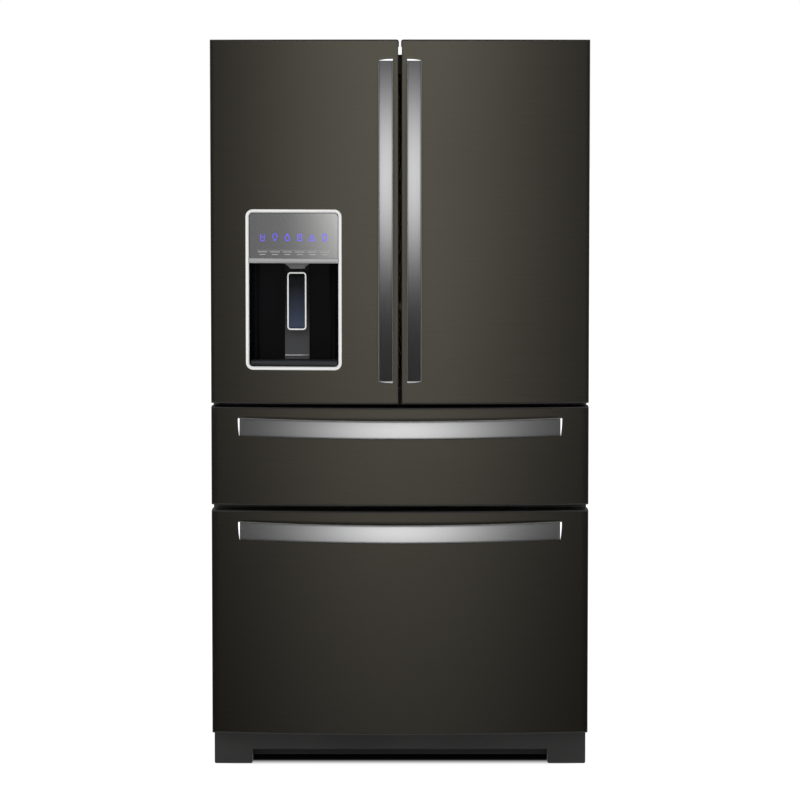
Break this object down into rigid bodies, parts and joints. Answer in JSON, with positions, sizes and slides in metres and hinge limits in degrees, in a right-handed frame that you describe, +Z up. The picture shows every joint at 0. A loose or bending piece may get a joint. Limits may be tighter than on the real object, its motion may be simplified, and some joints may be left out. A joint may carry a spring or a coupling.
{
  "type": "french door refrigerator",
  "caption": "Free-standing refrigerator with two bowed side-by-side upper doors, one with an ice and water dispenser, over a refrigerated drawer and a freezer drawer.",
  "frame": {"origin": "on the floor, under the middle of the overall box", "axes": "+Z up, -Y out of the doors' front, +X to the right as seen from the front"},
  "size_m": [0.905, 0.892, 1.75],
  "materials": {
    "black_stainless": "fine brushed grain",
    "handle_metal": "brushed",
    "foam": "rigid foam",
    "seal": "soft grey",
    "white_liner": "smooth",
    "clear_plastic": "smooth",
    "shelf_trim": "smooth",
    "shelf_glass": "polished",
    "chrome_trim": "polished",
    "black_gloss": "gloss",
    "panel_grey": "satin",
    "cabinet_paint": "fine textured paint",
    "galvanised": "galvanised",
    "dark_plastic": "matt",
    "compressor_black": "black paint",
    "coil_metal": "as drawn"
  },
  "bodies": {
    "cabinet": {"cabinet_wrapper": "cabinet_paint", "cabinet_back_panel": "galvanised", "cabinet_foam": "foam", "fridge_liner": "white_liner", "lower_liners": "white_liner", "base_frame": "galvanised", "compressor": "compressor_black", "condenser": "coil_metal", "evaporator": "coil_metal", "evaporator_cover": "white_liner", "fridge_air_duct": "white_liner", "machine_cover": "dark_plastic", "toe_grille": "dark_plastic", "leveling_legs": "galvanised", "door_hinges": "galvanised", "hinge_covers": "dark_plastic", "shelf_frames": "shelf_trim", "shelf_glass": "shelf_glass", "slide_rails_fixed": "galvanised"},
    "left_door": {"left_door_skin": "black_stainless", "left_door_liner": "white_liner", "left_door_foam": "foam", "left_door_gasket": "seal", "left_door_handle": "handle_metal", "dispenser_bezel": "chrome_trim", "dispenser_housing": "black_gloss", "dispenser_spout": "black_gloss", "dispenser_control_panel": "panel_grey", "dispenser_tray": "panel_grey", "ice_maker_box": "white_liner", "left_door_bins": "clear_plastic"},
    "right_door": {"right_door_skin": "black_stainless", "right_door_liner": "white_liner", "right_door_foam": "foam", "right_door_gasket": "seal", "right_door_handle": "handle_metal", "right_door_bins": "clear_plastic"},
    "mullion": {"flip_mullion": "white_liner"},
    "paddle": {"dispenser_paddle": "black_gloss"},
    "mid_drawer": {"mid_drawer_skin": "black_stainless", "mid_drawer_liner": "white_liner", "mid_drawer_foam": "foam", "mid_drawer_gasket": "seal", "mid_drawer_handle": "handle_metal", "mid_drawer_rails": "galvanised", "mid_drawer_tub": "clear_plastic"},
    "mid_slides": {"mid_slide_middles": "galvanised"},
    "freezer_drawer": {"freezer_drawer_skin": "black_stainless", "freezer_drawer_liner": "white_liner", "freezer_drawer_foam": "foam", "freezer_drawer_gasket": "seal", "freezer_drawer_handle": "handle_metal", "freezer_drawer_rails": "galvanised", "freezer_basket": "clear_plastic"},
    "freezer_slides": {"freezer_slide_middles": "galvanised"},
    "upper_freezer_tray": {"freezer_tray": "clear_plastic"},
    "left_crisper": {"crisper_left": "clear_plastic"},
    "right_crisper": {"crisper_right": "clear_plastic"},
    "fan": {"condenser_fan": "dark_plastic"},
    "rollers": {"rear_rollers": "dark_plastic"}
  },
  "joints": [
    {"name": "left_door_hinge", "type": "hinge", "parent": "cabinet", "child": "left_door", "pos_m": [-0.4375, -0.314, 0.883], "axis": [0, 0, -1], "range_deg": [0, 120]},
    {"name": "right_door_hinge", "type": "hinge", "parent": "cabinet", "child": "right_door", "pos_m": [0.4375, -0.314, 0.883], "axis": [0, 0, 1], "range_deg": [0, 120]},
    {"name": "mullion_hinge", "type": "hinge", "parent": "left_door", "child": "mullion", "pos_m": [-0.022, -0.2759, 0.936], "axis": [0, 0, -1], "range_deg": [0, 90]},
    {"name": "paddle_hinge", "type": "hinge", "parent": "left_door", "child": "paddle", "pos_m": [-0.247, -0.339, 1.188], "axis": [1, 0, 0], "range_deg": [0, 8], "stiffness_Nm_per_rad": 0.4, "springref_deg": -11.46},
    {"name": "mid_drawer_slide", "type": "slide", "parent": "cabinet", "child": "mid_drawer", "axis": [0, -1, 0], "range_m": [0, 0.4]},
    {"name": "mid_middle_slide", "type": "slide", "parent": "cabinet", "child": "mid_slides", "axis": [0, -1, 0], "range_m": [0, 0.2]},
    {"name": "freezer_drawer_slide", "type": "slide", "parent": "cabinet", "child": "freezer_drawer", "axis": [0, -1, 0], "range_m": [0, 0.45]},
    {"name": "freezer_middle_slide", "type": "slide", "parent": "cabinet", "child": "freezer_slides", "axis": [0, -1, 0], "range_m": [0, 0.225]},
    {"name": "freezer_tray_slide", "type": "slide", "parent": "cabinet", "child": "upper_freezer_tray", "axis": [0, -1, 0], "range_m": [0, 0.315]},
    {"name": "left_crisper_slide", "type": "slide", "parent": "cabinet", "child": "left_crisper", "axis": [0, -1, 0], "range_m": [0, 0.045]},
    {"name": "right_crisper_slide", "type": "slide", "parent": "cabinet", "child": "right_crisper", "axis": [0, -1, 0], "range_m": [0, 0.045]},
    {"name": "fan_spin", "type": "hinge", "parent": "cabinet", "child": "fan", "pos_m": [0.033, 0.305, 0.15], "axis": [1, 0, 0], "continuous": true},
    {"name": "roller_spin", "type": "hinge", "parent": "cabinet", "child": "rollers", "pos_m": [0, 0.4, 0.022], "axis": [1, 0, 0], "continuous": true}
  ],
  "couplings": [
    {"joint": "mid_middle_slide", "follows": "mid_drawer_slide", "ratio": 0.5},
    {"joint": "freezer_middle_slide", "follows": "freezer_drawer_slide", "ratio": 0.5},
    {"joint": "freezer_tray_slide", "follows": "freezer_drawer_slide", "ratio": 0.7}
  ]
}
